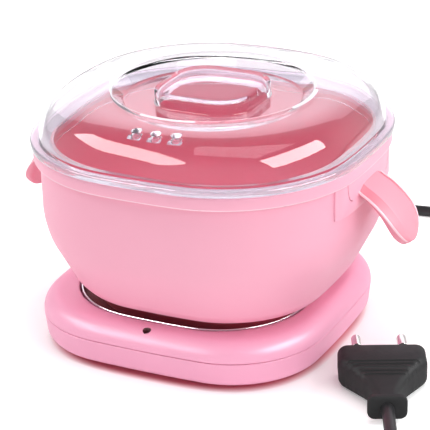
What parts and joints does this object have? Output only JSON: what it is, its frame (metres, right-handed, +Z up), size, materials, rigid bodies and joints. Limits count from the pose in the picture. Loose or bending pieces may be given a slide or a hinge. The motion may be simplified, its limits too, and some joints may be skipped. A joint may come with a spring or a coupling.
{
  "type": "wax warmer pot",
  "caption": "Electric wax warmer: flat heated base with mains cord, lift-off folding silicone pot with drooping ear handles, and a clear domed lid with a recessed grip and vents.",
  "frame": {"origin": "on the floor, under the middle of the pot; the base's middle is 4 mm towards -X because the pot stands off the middle of its dish", "axes": "+Z up, X through the two handles, -Y the front with the indicator and the lid's vents, +Y the back where the cord leaves"},
  "size_m": [0.2561, 0.2383, 0.1074],
  "materials": {
    "base_shell": "satin moulded",
    "feet_rubber": "matte",
    "steel_fasteners": "zinc plated",
    "plate_aluminium": "polished edge",
    "gasket_silicone": "matte",
    "mica": "pressed sheet",
    "steel_sheet": "bare sheet",
    "black_plastic": "fine texture",
    "fuse_metal": "plated",
    "circuit_board": "solder mask",
    "led_red": "clear tinted",
    "terminal_white": "moulded",
    "wire_insulation": "matte",
    "cord_rubber": "satin",
    "pot_silicone": "satin silicone",
    "rim_plastic": "satin moulded",
    "lid_clear": "clear polished",
    "pin_metal": "nickel plated"
  },
  "bodies": {
    "base": {"base_cover": "base_shell", "base_tray": "base_shell", "rubber_feet": "feet_rubber", "tray_screws": "steel_fasteners", "heating_plate": "plate_aluminium", "plate_gasket": "gasket_silicone", "plate_nuts": "steel_fasteners", "heater_disc": "mica", "heater_clamp": "steel_sheet", "clamp_nuts": "steel_fasteners", "thermostat": "black_plastic", "thermal_fuse": "fuse_metal", "heat_shield": "steel_sheet", "led_board": "circuit_board", "indicator_led": "led_red", "terminal_block": "terminal_white", "internal_wires": "wire_insulation", "strain_relief": "cord_rubber", "cord_tail": "cord_rubber", "cord_clamp": "black_plastic", "clamp_screws": "steel_fasteners", "cord_rear_run": "cord_rubber", "cord_front_run": "cord_rubber", "cord_coil": "cord_rubber", "coil_tie": "black_plastic", "plug_body": "black_plastic", "plug_pins": "pin_metal", "plug_pin_sleeves": "black_plastic"},
    "pot_lower": {"pot_heat_plate": "plate_aluminium", "pot_foot": "pot_silicone", "pot_fold_band": "pot_silicone"},
    "pot_upper": {"pot_wall": "pot_silicone", "pot_rim": "rim_plastic", "right_handle": "rim_plastic", "left_handle": "rim_plastic"},
    "lid": {"lid": "lid_clear"}
  },
  "joints": [
    {"name": "pot_lift", "type": "slide", "parent": "base", "child": "pot_lower", "axis": [0, 0, 1], "range_m": [0, 0.06]},
    {"name": "pot_fold", "type": "slide", "parent": "pot_lower", "child": "pot_upper", "axis": [0, 0, -1], "range_m": [0, 0.016], "deforming": ["pot_fold_band"]},
    {"name": "lid_lift", "type": "slide", "parent": "pot_upper", "child": "lid", "axis": [0, 0, 1], "range_m": [0, 0.06]}
  ]
}
